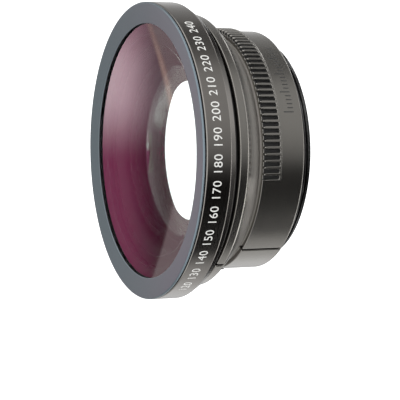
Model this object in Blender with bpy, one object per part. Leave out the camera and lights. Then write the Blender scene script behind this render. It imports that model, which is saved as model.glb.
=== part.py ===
"""Wide-angle conversion lens for a 52 mm filter thread, standing on its rear end.

The optical axis is Z, with the front glass up. Heights are measured from the rear end, which is
the plane the lens stands on. Angles run round the axis from -Y towards +X.
"""

import math

import bmesh
import bpy
from mathutils import Matrix, Vector

MM = 0.001
DEGREE = math.tau / 360

# Clearance between pieces that touch, slide or screw together
FIT = 0.3 * MM
PIN_FIT = 0.15 * MM

# Rear glass, a cemented pair
CROWN_EDGE = 1.0 * MM
CROWN_CURVE = 400 * MM
CEMENT_CURVE = 500 * MM
FLINT_THICKNESS = 1.4 * MM

# Inner barrel
BARREL_WALL = 0.9 * MM
SEAT_LEDGE = 0.9 * MM
SEAT_LEDGE_HEIGHT = 1.0 * MM
BORE_WALL = 1.1 * MM
CONE_BORE_WALL = 1.7 * MM
NECK_WALL = 3.6 * MM
NECK_LAP = 2.2 * MM

# Rear retaining ring and the washer on the other side of the pair
RETAINER_WIDTH = 0.9 * MM
RETAINER_HEIGHT = 1.2 * MM
SPANNER_SLOT_WIDTH = 1.2 * MM
SPANNER_SLOT_DEPTH = 0.6 * MM
WASHER_HEIGHT = 0.3 * MM
WASHER_WIDTH = 0.5 * MM

# Mount ring with its male thread, drawn plain at the thread's outer diameter
THREAD_RADIUS = 26.0 * MM
THREAD_WALL = 1.4 * MM
THREAD_LENGTH = 2.8 * MM
THREAD_CHAMFER = 0.4 * MM
MOUNT_WEB = 0.5 * MM
SKIRT_WALL = 1.2 * MM
SKIRT_HEIGHT = 2.5 * MM
LOCK_SCREW_RADIUS = 0.8 * MM
LOCK_SCREW_LENGTH = 0.9 * MM
LOCK_SCREWS = 3

# Two half shells round the barrel: grip at the rear, cone, collar
SHELL_RECESS_WALL = 1.1 * MM
SHELL_EDGE = 0.4 * MM
GRIP_LENGTH = 10.45 * MM
VALLEY_WIDTH = 0.4 * MM
VALLEY_DEPTH = 0.95 * MM
CONE_HEIGHT = 5.15 * MM
COLLAR_WALL = 2.4 * MM
COLLAR_WIDTH = 2.1 * MM
COLLAR_EDGE = 0.2 * MM
GRIP_CENTRE = 34 * DEGREE
GRIP_SHELL_HALF_ANGLE = 90 * DEGREE
SEAM_GAP = 0.3 * MM
SHELL_STEP = 6 * DEGREE

# Raised grip pads and the notches milled into them
PAD_HALF_ANGLE = 51.5 * DEGREE
PAD_RAMP = 2 * DEGREE
PAD_HEIGHT = 0.7 * MM
PAD_WIDTH = 4.45 * MM
PAD_EDGE = 0.2 * MM
NOTCHES = 33
NOTCH_PITCH = 3 * DEGREE
NOTCH_FLOOR_WIDTH = 0.42 * MM
NOTCH_MOUTH_WIDTH = 0.86 * MM
NOTCH_DEPTH = 0.8 * MM
NOTCH_END_WALL = 0.6 * MM

# Dowel pins across the two seams
PIN_RADIUS = 0.5 * MM
PIN_LENGTH = 3.2 * MM

# Front group: glass, gasket, lettered barrel, retaining ring
GLASS_RADIUS = 30.7 * MM
GLASS_STEP = 3.2 * MM
GLASS_LAND = 2.7 * MM
GLASS_RIM_HEIGHT = 3.9 * MM
GLASS_CENTRE = 4.2 * MM
FRONT_CURVE = 800 * MM
GASKET_HEIGHT = 0.6 * MM
GASKET_WIDTH = 2.2 * MM
RING_SKIRT_WALL = 1.3 * MM
RING_SKIRT_HEIGHT = 2.5 * MM
RING_LAP = 0.8 * MM
RING_LIP_HEIGHT = 0.7 * MM
RING_SLOPE = 0.55 * MM
RING_EDGE = 0.25 * MM
RING_FLANGE = 0.45 * MM
BAND_WALL = 2.3 * MM
BAND_WIDTH = 5.95 * MM
BAND_TAPER_HEIGHT = 1.7 * MM
BAND_TAPER_DEPTH = 1.1 * MM
GROOVE_WIDTH = 1.7 * MM

# Light baffle between the two groups
BAFFLE_WALL = 0.6 * MM
BAFFLE_LEDGES = 3
BAFFLE_LEDGE = 0.35 * MM
BAFFLE_LAND = 1.15 * MM

# Facets round a full turn
OUTER_FACETS = 48
INNER_FACETS = 36
PIN_FACETS = 10


def sag(radius, curve):
    """How far a sphere of this radius of curvature falls away at a distance from its vertex."""
    return curve - math.sqrt(curve * curve - radius * radius)


# Radii that follow from the sizes above
BARREL_BORE = THREAD_RADIUS - THREAD_WALL
REAR_GLASS_RADIUS = BARREL_BORE - FIT
BARREL_RADIUS = BARREL_BORE + BARREL_WALL
WAIST_BORE = BARREL_RADIUS - BORE_WALL
GLASS_STEP_RADIUS = GLASS_RADIUS - GLASS_STEP
HOLLOW_RADIUS = GLASS_STEP_RADIUS - GLASS_LAND
RING_OPENING = GLASS_RADIUS - RING_LAP
NECK_BORE = GLASS_STEP_RADIUS + FIT
COLLAR_SEAT_RADIUS = NECK_BORE + CONE_BORE_WALL
NECK_RADIUS = NECK_BORE + NECK_WALL
SHELL_BORE = BARREL_RADIUS + FIT
SKIRT_BORE = BARREL_RADIUS + FIT
SKIRT_RADIUS = SKIRT_BORE + SKIRT_WALL
SHELL_RECESS = SKIRT_RADIUS + FIT
SHELL_RADIUS = SHELL_RECESS + SHELL_RECESS_WALL
PAD_RADIUS = SHELL_RADIUS + PAD_HEIGHT
COLLAR_BORE = COLLAR_SEAT_RADIUS + FIT
COLLAR_RADIUS = COLLAR_BORE + COLLAR_WALL
RING_SKIRT_BORE = GLASS_RADIUS + FIT
RING_SKIRT_RADIUS = RING_SKIRT_BORE + RING_SKIRT_WALL
BAND_BORE = RING_SKIRT_RADIUS + FIT
FRONT_RADIUS = BAND_BORE + BAND_WALL

# Heights that follow, from the rear end to the front
SHELL_REAR = THREAD_LENGTH + 0.1 * MM
SKIRT_TOP = THREAD_LENGTH + MOUNT_WEB + SKIRT_HEIGHT
BARREL_REAR = THREAD_LENGTH + MOUNT_WEB + FIT
RETAINER_TOP = BARREL_REAR + RETAINER_HEIGHT
FLINT_REAR = RETAINER_TOP + FIT
CEMENT_HEIGHT = FLINT_REAR + FLINT_THICKNESS
CROWN_REAR = CEMENT_HEIGHT + FIT
CROWN_RIM = CROWN_REAR + sag(REAR_GLASS_RADIUS, CEMENT_CURVE) + CROWN_EDGE
CROWN_FRONT = CROWN_RIM + sag(REAR_GLASS_RADIUS, CROWN_CURVE)
SHOULDER = SHELL_REAR + GRIP_LENGTH
CONE_FOOT = SHOULDER + VALLEY_WIDTH
CONE_TOP = CONE_FOOT + CONE_HEIGHT
COLLAR_FRONT = CONE_TOP + COLLAR_WIDTH
NECK_SHOULDER = COLLAR_FRONT + FIT
BAND_REAR = COLLAR_FRONT + GROOVE_WIDTH
NECK_FRONT = BAND_REAR + NECK_LAP
GASKET_REAR = NECK_FRONT + FIT
GLASS_SHOULDER = GASKET_REAR + GASKET_HEIGHT + FIT
GLASS_RIM = GLASS_SHOULDER + GLASS_RIM_HEIGHT
BAFFLE_TOP = CONE_TOP + 1.5 * FIT + BAFFLE_LAND
HOLLOW_RIM = BAFFLE_TOP + FIT
RING_LIP = GLASS_RIM + FIT
BAND_TAPER_TOP = BAND_REAR + BAND_TAPER_HEIGHT
BAND_FRONT = BAND_TAPER_TOP + BAND_WIDTH
FLANGE_REAR = BAND_FRONT + FIT
FRONT = FLANGE_REAR + RING_FLANGE


def finish(name, colour, roughness, metallic=0.0, transmission=0.0):
    """A plain material with the colour and gloss of one of the lens's finishes."""
    material = bpy.data.materials.new(name)
    material.use_nodes = True
    shader = material.node_tree.nodes["Principled BSDF"]
    shader.inputs["Base Color"].default_value = (*colour, 1)
    shader.inputs["Roughness"].default_value = roughness
    shader.inputs["Metallic"].default_value = metallic
    shader.inputs["Transmission Weight"].default_value = transmission
    return material


def place(name, mesh, material):
    """Turn a bmesh into a named, shaded object."""
    data = bpy.data.meshes.new(name)
    mesh.to_mesh(data)
    mesh.free()
    data.shade_smooth()
    data.set_sharp_from_angle(angle=30 * DEGREE)
    part = bpy.data.objects.new(name, data)
    bpy.context.collection.objects.link(part)
    if material:
        data.materials.append(material)
    return part


def point(angle, radius, height):
    """A point at an angle round the axis."""
    return Vector((radius * math.sin(angle), -radius * math.cos(angle), height))


def turned(name, outline, facets, material):
    """Revolve an outline of (radius, height) points. One that starts and ends on the axis is solid."""
    mesh = bmesh.new()
    corners = [mesh.verts.new((radius, 0, height)) for radius, height in outline]
    edges = [mesh.edges.new(pair) for pair in zip(corners, corners[1:])]
    if outline[0][0] > 0:
        edges.append(mesh.edges.new((corners[-1], corners[0])))
    bmesh.ops.spin(
        mesh, geom=corners + edges, cent=(0, 0, 0), axis=(0, 0, 1), angle=math.tau, steps=facets, use_merge=True
    )
    bmesh.ops.remove_doubles(mesh, verts=mesh.verts, dist=1e-7)
    bmesh.ops.recalc_face_normals(mesh, faces=mesh.faces)
    return place(name, mesh, material)


def sector(name, outline_at, angles, material):
    """Loft a closed outline through a list of angles round the axis and cap both ends."""
    mesh = bmesh.new()
    rings = [[mesh.verts.new(point(angle, *corner)) for corner in outline_at(angle)] for angle in angles]
    for ring, following in zip(rings, rings[1:]):
        for i in range(len(ring)):
            mesh.faces.new((ring[i - 1], ring[i], following[i], following[i - 1]))
    mesh.faces.new(rings[0])
    mesh.faces.new(rings[-1])
    bmesh.ops.recalc_face_normals(mesh, faces=mesh.faces)
    return place(name, mesh, material)


def rod(name, start, end, radius, facets, material):
    """A round rod between two points."""
    mesh = bmesh.new()
    along = end - start
    turn = Vector((0, 0, 1)).rotation_difference(along).to_matrix().to_4x4()
    bmesh.ops.create_cone(
        mesh,
        cap_ends=True,
        segments=facets,
        radius1=radius,
        radius2=radius,
        depth=along.length,
        matrix=Matrix.Translation((start + end) / 2) @ turn,
    )
    return place(name, mesh, material)


def cut(part, cutter):
    """Subtract a cutter, which stays in the file as a wire guide."""
    cutter.hide_render = True
    cutter.display_type = "WIRE"
    boolean = part.modifiers.new(cutter.name, "BOOLEAN")
    boolean.operation = "DIFFERENCE"
    boolean.solver = "EXACT"
    boolean.object = cutter


def dome(vertex, curve, aperture, steps):
    """Points of a lens surface from the axis outwards, falling away downwards."""
    radii = [aperture * i / steps for i in range(steps + 1)]
    return [(radius, vertex - sag(radius, curve)) for radius in radii]


def curve_through(aperture, depth):
    """Radius of curvature of a hollow that is so wide and so deep."""
    return (aperture * aperture + depth * depth) / (2 * depth)


def dish(vertex, curve, aperture, steps):
    """Points of a lens surface from the axis outwards, rising upwards."""
    radii = [aperture * i / steps for i in range(steps + 1)]
    return [(radius, vertex + sag(radius, curve)) for radius in radii]


def front_element(material):
    """Nearly flat in front and deeply hollow behind, with a stepped edge that seats in the barrel."""
    front = dome(GLASS_RIM + sag(GLASS_RADIUS, FRONT_CURVE), FRONT_CURVE, GLASS_RADIUS, 2)
    hollow_vertex = front[0][1] - GLASS_CENTRE
    hollow_curve = curve_through(HOLLOW_RADIUS, hollow_vertex - HOLLOW_RIM)
    hollow = dome(hollow_vertex, hollow_curve, HOLLOW_RADIUS, 5)
    step = [
        (GLASS_RADIUS, GLASS_SHOULDER),
        (GLASS_STEP_RADIUS, GLASS_SHOULDER),
        (GLASS_STEP_RADIUS, HOLLOW_RIM),
    ]
    return turned("front_element", front + step + hollow[::-1], OUTER_FACETS, material)


def rear_elements(crown_material, flint_material):
    """The cemented pair: a thin, slightly domed crown in front and a flint behind."""
    front = dome(CROWN_FRONT, CROWN_CURVE, REAR_GLASS_RADIUS, 4)
    joint = dish(CROWN_REAR, CEMENT_CURVE, REAR_GLASS_RADIUS, 2)
    turned("rear_crown_element", front + joint[::-1], INNER_FACETS, crown_material)
    joint = dish(CEMENT_HEIGHT, CEMENT_CURVE, REAR_GLASS_RADIUS, 2)
    rear = [(REAR_GLASS_RADIUS, FLINT_REAR), (0, FLINT_REAR)]
    turned("rear_flint_element", joint + rear, INNER_FACETS, flint_material)


def front_retaining_ring(material):
    """The wide face ring. Its skirt screws into the lettered barrel and its lip holds the glass."""
    lip_front = FRONT - RING_SLOPE
    outline = [
        (RING_OPENING, RING_LIP),
        (RING_SKIRT_BORE, RING_LIP),
        (RING_SKIRT_BORE, RING_LIP - RING_SKIRT_HEIGHT),
        (RING_SKIRT_RADIUS, RING_LIP - RING_SKIRT_HEIGHT),
        (RING_SKIRT_RADIUS, FLANGE_REAR),
        (FRONT_RADIUS, FLANGE_REAR),
        (FRONT_RADIUS, FRONT - RING_EDGE),
        (FRONT_RADIUS - RING_EDGE, FRONT),
        (RING_OPENING, lip_front),
    ]
    return turned("front_retaining_ring", outline, OUTER_FACETS, material)


def front_barrel(material):
    """The broad barrel that carries the lettering, bored in three steps."""
    skirt_seat = RING_LIP - RING_SKIRT_HEIGHT - FIT
    outline = [
        (BAND_BORE, BAND_FRONT),
        (BAND_BORE, skirt_seat),
        (RING_SKIRT_BORE, skirt_seat),
        (RING_SKIRT_BORE, NECK_FRONT + FIT),
        (NECK_RADIUS + FIT, NECK_FRONT + FIT),
        (NECK_RADIUS + FIT, BAND_REAR),
        (FRONT_RADIUS - BAND_TAPER_DEPTH, BAND_REAR),
        (FRONT_RADIUS, BAND_TAPER_TOP),
        (FRONT_RADIUS, BAND_FRONT),
    ]
    return turned("front_barrel", outline, OUTER_FACETS, material)


def front_gasket(material):
    """Flat rubber ring under the step of the front glass."""
    inner = GLASS_STEP_RADIUS + 2 * FIT
    top = GASKET_REAR + GASKET_HEIGHT
    outline = [
        (inner, GASKET_REAR),
        (inner + GASKET_WIDTH, GASKET_REAR),
        (inner + GASKET_WIDTH, top),
        (inner, top),
    ]
    return turned("front_gasket", outline, INNER_FACETS, material)


def seat_ledge():
    """Lower and upper height of the ledge that the rear pair is pressed against."""
    lower = CROWN_RIM + FIT + WASHER_HEIGHT + FIT
    return lower, lower + SEAT_LEDGE_HEIGHT


def main_barrel(material):
    """The inner tube: neck for the lettered barrel, cone, and the cell of the rear pair."""
    ledge_lower, ledge_upper = seat_ledge()
    outline = [
        (BARREL_BORE, BARREL_REAR),
        (BARREL_RADIUS, BARREL_REAR),
        (BARREL_RADIUS, SHOULDER - FIT),
        (COLLAR_SEAT_RADIUS, CONE_TOP - FIT),
        (COLLAR_SEAT_RADIUS, NECK_SHOULDER),
        (NECK_RADIUS, NECK_SHOULDER),
        (NECK_RADIUS, NECK_FRONT),
        (NECK_BORE, NECK_FRONT),
        (NECK_BORE, CONE_TOP),
        (WAIST_BORE, SHOULDER + FIT),
        (WAIST_BORE, ledge_upper),
        (BARREL_BORE - SEAT_LEDGE, ledge_upper),
        (BARREL_BORE - SEAT_LEDGE, ledge_lower),
        (BARREL_BORE, ledge_lower),
    ]
    return turned("main_barrel", outline, INNER_FACETS, material)


def light_baffle(material):
    """Blackened liner between the groups, with ledges inside that stop stray light."""
    foot = seat_ledge()[1] + FIT
    waist = SHOULDER + 1.5 * FIT
    wide = CONE_TOP + 1.5 * FIT
    narrow_radius = WAIST_BORE - FIT
    wide_radius = NECK_BORE - FIT
    outer = [(wide_radius, BAFFLE_TOP), (wide_radius, wide), (narrow_radius, waist), (narrow_radius, foot)]
    inner = [(narrow_radius - BAFFLE_WALL, foot)]
    for i in range(BAFFLE_LEDGES + 1):
        share = i / BAFFLE_LEDGES
        height = waist + share * (wide - waist)
        radius = narrow_radius + share * (wide_radius - narrow_radius) - BAFFLE_WALL
        inner.append((radius - BAFFLE_LEDGE, height))
        inner.append((radius, height + BAFFLE_LEDGE))
    inner.append((wide_radius - BAFFLE_WALL, BAFFLE_TOP))
    return turned("light_baffle", outer[::-1] + inner[::-1], INNER_FACETS, material)


def rear_seat_washer(material):
    """Thin washer between the ledge and the rim of the rear pair."""
    lower = seat_ledge()[0] - FIT - WASHER_HEIGHT
    inner = REAR_GLASS_RADIUS - WASHER_WIDTH
    outline = [
        (inner, lower),
        (REAR_GLASS_RADIUS, lower),
        (REAR_GLASS_RADIUS, lower + WASHER_HEIGHT),
        (inner, lower + WASHER_HEIGHT),
    ]
    return turned("rear_seat_washer", outline, INNER_FACETS, material)


def rear_retaining_ring(material):
    """Threaded ring behind the rear pair, with two slots for a spanner."""
    inner = REAR_GLASS_RADIUS - RETAINER_WIDTH
    outline = [
        (inner, BARREL_REAR),
        (REAR_GLASS_RADIUS, BARREL_REAR),
        (REAR_GLASS_RADIUS, RETAINER_TOP),
        (inner, RETAINER_TOP),
    ]
    ring = turned("rear_retaining_ring", outline, INNER_FACETS, material)
    mesh = bmesh.new()
    size = (SPANNER_SLOT_WIDTH, 2 * REAR_GLASS_RADIUS + 4 * MM, 2 * SPANNER_SLOT_DEPTH)
    bmesh.ops.create_cube(mesh, size=1, matrix=Matrix.LocRotScale((0, 0, BARREL_REAR), None, size))
    cut(ring, place("spanner_slot_cutter", mesh, None))
    return ring


def mount_ring(material):
    """Rear ring with the male filter thread. Its skirt slips over the barrel inside the shells."""
    outline = [
        (BARREL_BORE, 0),
        (THREAD_RADIUS - THREAD_CHAMFER, 0),
        (THREAD_RADIUS, THREAD_CHAMFER),
        (THREAD_RADIUS, THREAD_LENGTH),
        (SKIRT_RADIUS, THREAD_LENGTH),
        (SKIRT_RADIUS, SKIRT_TOP),
        (SKIRT_BORE, SKIRT_TOP),
        (SKIRT_BORE, THREAD_LENGTH + MOUNT_WEB),
        (BARREL_BORE, THREAD_LENGTH + MOUNT_WEB),
    ]
    return turned("mount_ring", outline, INNER_FACETS, material)


def mount_lock_screws(ring, material):
    """Grub screws in the skirt of the mount ring, which press on the barrel."""
    height = SKIRT_TOP - SKIRT_HEIGHT / 2
    tip = SKIRT_BORE
    for i in range(LOCK_SCREWS):
        angle = GRIP_CENTRE + i * math.tau / LOCK_SCREWS
        start = point(angle, tip, height)
        end = point(angle, tip + LOCK_SCREW_LENGTH, height)
        rod(f"mount_lock_screw_{i + 1}", start, end, LOCK_SCREW_RADIUS, PIN_FACETS, material)
        hole_start = point(angle, SKIRT_BORE - MM, height)
        hole_end = point(angle, SKIRT_RADIUS + MM, height)
        hole = rod(f"lock_hole_cutter_{i + 1}", hole_start, hole_end, LOCK_SCREW_RADIUS + PIN_FIT, PIN_FACETS, None)
        cut(ring, hole)


def pad_share(angle, centre):
    """One on the raised pad, nought beside it, with a short ramp at each end."""
    beyond = abs(angle - centre) - PAD_HALF_ANGLE
    return min(max(-beyond / PAD_RAMP, 0), 1)


def shell_outline(angle, centre):
    """Section through a half shell: grip, valley, cone and collar outside, stepped bore inside."""
    crest = SHELL_RADIUS + PAD_HEIGHT * pad_share(angle, centre)
    pad_rear = SHOULDER - PAD_WIDTH
    return [
        (SHELL_RECESS, SHELL_REAR),
        (SHELL_RADIUS - SHELL_EDGE, SHELL_REAR),
        (SHELL_RADIUS, SHELL_REAR + SHELL_EDGE),
        (SHELL_RADIUS, pad_rear),
        (crest, pad_rear + PAD_EDGE),
        (crest, SHOULDER - PAD_EDGE),
        (crest - PAD_EDGE, SHOULDER),
        (SHELL_RADIUS - VALLEY_DEPTH, SHOULDER),
        (SHELL_RADIUS - VALLEY_DEPTH, CONE_FOOT),
        (COLLAR_RADIUS, CONE_TOP),
        (COLLAR_RADIUS, COLLAR_FRONT - COLLAR_EDGE),
        (COLLAR_RADIUS - COLLAR_EDGE, COLLAR_FRONT),
        (COLLAR_BORE, COLLAR_FRONT),
        (COLLAR_BORE, CONE_TOP - FIT),
        (SHELL_BORE, SHOULDER - FIT),
        (SHELL_BORE, SKIRT_TOP + FIT),
        (SHELL_RECESS, SKIRT_TOP + FIT),
    ]


def station_angles(start, end, centre):
    """Even steps along a shell, with stations added where its pad begins and ends."""
    steps = math.ceil((end - start) / SHELL_STEP)
    angles = [start + (end - start) * i / steps for i in range(steps + 1)]
    for side in (-1, 1):
        for reach in (PAD_HALF_ANGLE, PAD_HALF_ANGLE - PAD_RAMP):
            extra = centre + side * reach
            near = min(angles[1:-1], key=lambda angle: abs(angle - extra))
            if abs(near - extra) < SHELL_STEP / 4:
                angles.remove(near)
            angles.append(extra)
    return sorted(angles)


def notch_cutter(name, centre):
    """Tapered bars, one for each notch, open at the shoulder and closed at the rear."""
    mesh = bmesh.new()
    rear = SHOULDER - PAD_WIDTH + NOTCH_END_WALL
    front = SHOULDER + VALLEY_WIDTH / 2
    floor = PAD_RADIUS - NOTCH_DEPTH
    spread = (NOTCH_MOUTH_WIDTH - NOTCH_FLOOR_WIDTH) / NOTCH_DEPTH
    top = PAD_RADIUS + NOTCH_DEPTH / 2
    top_width = NOTCH_FLOOR_WIDTH + spread * (top - floor)
    section = [
        (-NOTCH_FLOOR_WIDTH / 2, floor),
        (NOTCH_FLOOR_WIDTH / 2, floor),
        (top_width / 2, top),
        (-top_width / 2, top),
    ]
    first = centre - NOTCH_PITCH * (NOTCHES - 1) / 2
    for i in range(NOTCHES):
        turn = Matrix.Rotation(first + i * NOTCH_PITCH, 4, "Z")
        ends = [
            [mesh.verts.new(turn @ Vector((side, -radius, height))) for side, radius in section]
            for height in (rear, front)
        ]
        for j in range(len(section)):
            mesh.faces.new((ends[0][j - 1], ends[0][j], ends[1][j], ends[1][j - 1]))
        mesh.faces.new(ends[0])
        mesh.faces.new(ends[1])
    bmesh.ops.recalc_face_normals(mesh, faces=mesh.faces)
    return place(name, mesh, None)


def half_shell(name, centre, half_angle, material):
    """One half shell with its notched pad. The seam gap is shared by the two halves."""
    edge = half_angle - SEAM_GAP / 2 / SHELL_RADIUS
    angles = station_angles(centre - edge, centre + edge, centre)
    shell = sector(name, lambda angle: shell_outline(angle, centre), angles, material)
    cut(shell, notch_cutter(f"{name}_notch_cutter", centre))
    return shell


def seam_pins(shells, material):
    """Dowels across both seams, one in the collar and one in the grip wall of each."""
    places = [
        (COLLAR_BORE + COLLAR_WALL / 2, CONE_TOP + COLLAR_WIDTH / 2),
        ((SHELL_BORE + SHELL_RADIUS) / 2, (SKIRT_TOP + SHOULDER) / 2),
    ]
    number = 0
    for side in (-1, 1):
        seam = GRIP_CENTRE + side * GRIP_SHELL_HALF_ANGLE
        along = point(seam + math.tau / 4, 1, 0)
        for radius, height in places:
            number += 1
            centre = point(seam, radius, height)
            reach = PIN_LENGTH / 2
            rod(f"seam_pin_{number}", centre - reach * along, centre + reach * along, PIN_RADIUS, PIN_FACETS, material)
            reach += PIN_FIT
            hole = rod(
                f"pin_hole_cutter_{number}",
                centre - reach * along,
                centre + reach * along,
                PIN_RADIUS + PIN_FIT,
                PIN_FACETS,
                None,
            )
            for shell in shells:
                cut(shell, hole)


def main():
    for leftover in list(bpy.data.objects):
        bpy.data.objects.remove(leftover)

    face_grey = finish("blue_grey_satin", (0.125, 0.145, 0.165), 0.42, 0.7)
    band_black = finish("black_anodised", (0.030, 0.028, 0.026), 0.45, 0.4)
    shell_black = finish("charcoal_satin", (0.060, 0.057, 0.052), 0.42)
    inner_black = finish("matt_black", (0.012, 0.012, 0.012), 0.8)
    rubber = finish("black_rubber", (0.02, 0.02, 0.02), 0.7)
    steel = finish("dark_steel", (0.25, 0.25, 0.25), 0.35, 1.0)
    coated_glass = finish("plum_coated_glass", (0.9, 0.75, 0.82), 0.02, 0.0, 1.0)
    crown_glass = finish("crown_glass", (0.95, 0.97, 0.95), 0.02, 0.0, 1.0)
    flint_glass = finish("flint_glass", (0.96, 0.95, 0.92), 0.02, 0.0, 1.0)

    front_retaining_ring(face_grey)
    front_element(coated_glass)
    front_gasket(rubber)
    front_barrel(band_black)
    main_barrel(inner_black)
    light_baffle(inner_black)
    rear_seat_washer(rubber)
    rear_elements(crown_glass, flint_glass)
    rear_retaining_ring(inner_black)
    mount_lock_screws(mount_ring(band_black), steel)

    upper = half_shell("grip_shell", GRIP_CENTRE, GRIP_SHELL_HALF_ANGLE, shell_black)
    opposite = GRIP_CENTRE + math.pi
    lower = half_shell("lower_shell", opposite, math.pi - GRIP_SHELL_HALF_ANGLE, shell_black)
    seam_pins((upper, lower), steel)


main()
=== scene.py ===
"""Wide-angle conversion lens: its finishes, its glass and its fine forms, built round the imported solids.

The optical axis is Z, with the front glass up. Angles run round it from -Y towards +X. Lengths are
in metres. Turned pieces take their outline from the section of the CAD node that they stand for.
"""

import math

import bmesh
import bpy
from mathutils import Matrix, Vector


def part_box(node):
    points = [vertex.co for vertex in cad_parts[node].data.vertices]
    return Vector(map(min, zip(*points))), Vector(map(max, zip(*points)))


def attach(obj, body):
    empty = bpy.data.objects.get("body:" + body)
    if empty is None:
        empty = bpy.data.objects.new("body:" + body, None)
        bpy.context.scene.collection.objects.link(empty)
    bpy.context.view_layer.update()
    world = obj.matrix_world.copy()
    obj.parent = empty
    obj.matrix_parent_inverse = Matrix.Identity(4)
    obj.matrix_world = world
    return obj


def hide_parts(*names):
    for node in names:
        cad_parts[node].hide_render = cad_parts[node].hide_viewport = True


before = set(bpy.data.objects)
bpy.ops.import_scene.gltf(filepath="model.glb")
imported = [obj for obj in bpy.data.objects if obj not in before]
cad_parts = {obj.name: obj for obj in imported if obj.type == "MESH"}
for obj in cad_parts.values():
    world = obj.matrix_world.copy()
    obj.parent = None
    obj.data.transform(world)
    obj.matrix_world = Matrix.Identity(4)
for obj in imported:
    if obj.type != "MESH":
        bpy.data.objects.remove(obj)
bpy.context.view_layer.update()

MM = 0.001
DEGREE = math.tau / 360
BODY = "root"

# Lengths that count as nothing, points that count as one, and the least step round the axis in radians
TINY = 1e-6
SAME_POINT = 1e-8
LEAST_STEP = 1e-5

# Steps round a full turn, and the sharp angle left unsmoothed
TURN_STEPS = 256
SHARP = 35 * DEGREE

# Edges as they are broken on the lathe and in the mould
FINE_EDGE = 0.06 * MM
BAND_EDGE = 0.4 * MM
COLLAR_EDGE = 0.36 * MM
FACE_EDGE = 0.22 * MM

# Fillets: steps, the least turn that gets one and the longest trim as a share of its edge
FILLET_STEPS = 3
LEAST_TURN = 20 * DEGREE
LONGEST_TRIM = 0.45

# How far from a soft edge a supporting point lies, and how far the blackened wall reaches from the opening
SUPPORT = 0.06 * MM
LIP_WALL = 0.03 * MM

# Glass: steps from the axis to the rim of each polished surface, and the refractive indices
GLASS_STEPS = 48
FRONT_INDEX = 1.6
CROWN_INDEX = 1.52
FLINT_INDEX = 1.62

# Radius beyond which the rear face of the rear glass is painted
REAR_CLEAR = 20.0 * MM

# Half shells: the section shared with the solids
SHELL_RECESS_WALL = 1.1 * MM
SHELL_EDGE = 0.4 * MM
VALLEY_DEPTH = 0.95 * MM
VALLEY_WIDTH = 0.4 * MM
COLLAR_WIDTH = 2.1 * MM
COLLAR_WALL = 2.4 * MM
CONE_HEIGHT = 5.15 * MM
SHELL_FIT = 0.3 * MM
SEAM_GAP = 0.66 * MM
SEAM_EDGE = 0.2 * MM
GRIP_CENTRE = 34 * DEGREE

# Steps between sections, in their arcs and over the seam's edge, and the limit of that edge's mitres
SHELL_STEP = 1.5 * DEGREE
ARC_STEPS = 5
SEAM_STEPS = 4
LEAST_SPREAD = 0.6

# Painted light on the cone: how pale, dull and soft it grows down to its foot, and over what share of its
# height
CONE_PAINTED_LIGHT = (0.29, 0.275, 0.255)
CONE_METALLIC = 0.62
CONE_SOFTER = 0.15
CONE_SHARE = 0.55

# Raised pad and its notches
PAD_HEIGHT = 0.7 * MM
PAD_HALF_ANGLE = 49.5 * DEGREE
PAD_RAMP = 0.4 * DEGREE
PAD_WIDTH = 4.45 * MM
PAD_EDGE = 0.22 * MM
NOTCHES = 33
NOTCH_PITCH = 3 * DEGREE
NOTCH_DEPTH = 0.8 * MM
NOTCH_END_WALL = 0.6 * MM
NOTCH_FLOOR = 0.3 * MM
NOTCH_FLANK = 0.1 * MM
NOTCH_ROUND = 0.14 * MM
NOTCH_LIP = 0.28
NOTCH_FLARE = 0.15 * MM
NOTCH_FLARE_LENGTH = 0.8 * MM

# Steps on the pad's ramps and its front edge, and where sections lie across a rounding and a flare
RAMP_STEPS = 8
PAD_ARC_STEPS = 4
ACROSS_ROUND = (0.3, 0.65, 1.0)
ACROSS_FLARE = (0.5, 1.0)
FIRST_FLARE = 0.25

# Rear ramp of the pad, as (share of its rise, height in edge sizes)
PAD_SLOPE = [(0.12, -0.3), (0.72, 0.2), (0.95, 0.6), (1.0, 1.2)]

# Rounded end of a notch, as (share of its depth, height in roundings)
NOTCH_END = [(0.02, -0.7), (0.1, -0.25), (NOTCH_LIP, 0.0)]

# Foot of that end, as (share of its depth, height in flanks)
NOTCH_FOOT = [(0.9, 1.0), (1.0, 1.5)]

# Flared mouth of a notch, as (share of its widening, share of the flare's length)
NOTCH_MOUTH = [(0.35, 0.35), (0.7, 0.65)]

# Depths in a notch, as shares of its own, between which its faces are painted black as shade
POCKET_SHADE = (0.35, 1.02)

# Male filter thread: the crest narrows its grooves by a factor, and it runs out in a share of a pitch
THREAD_PITCH = 0.75 * MM
THREAD_DEPTH = 0.42 * MM
THREAD_LEAD_IN = 0.35 * MM
THREAD_STEPS = 8
THREAD_CREST = 1.25
THREAD_RUN_OUT = 0.6

# Figures round the front barrel: the cap height is a share of the font's size
FIGURE_COUNT = 13
FIGURE_FIRST = 120
FIGURE_STEP = 10
FIGURE_PITCH = 9.6 * DEGREE
FIGURE_START = -64 * DEGREE
FIGURE_CAP = 2.1 * MM
FIGURE_DEPTH = 0.03 * MM
CAP_SHARE = 0.72
FIGURE_SPACING = 1.08
FIGURE_WELD = 0.0001 * MM
FILLING_SUNK = 0.01 * MM
FIGURE_HEIGHT_FROM_FRONT = 3.7 * MM

# Tick marks on the rear sleeve
TICK_COUNT = 20
TICK_PITCH = 2 * DEGREE
TICK_START = 16 * DEGREE
TICK_WIDTH = 0.26 * MM
TICK_SHORT = 1.4 * MM
TICK_LONG = 2.5 * MM
TICK_LONG_EVERY = 5.0
TICK_DEPTH = 0.02 * MM
TICK_HEIGHT_FROM_FRONT = 26.1 * MM

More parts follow.
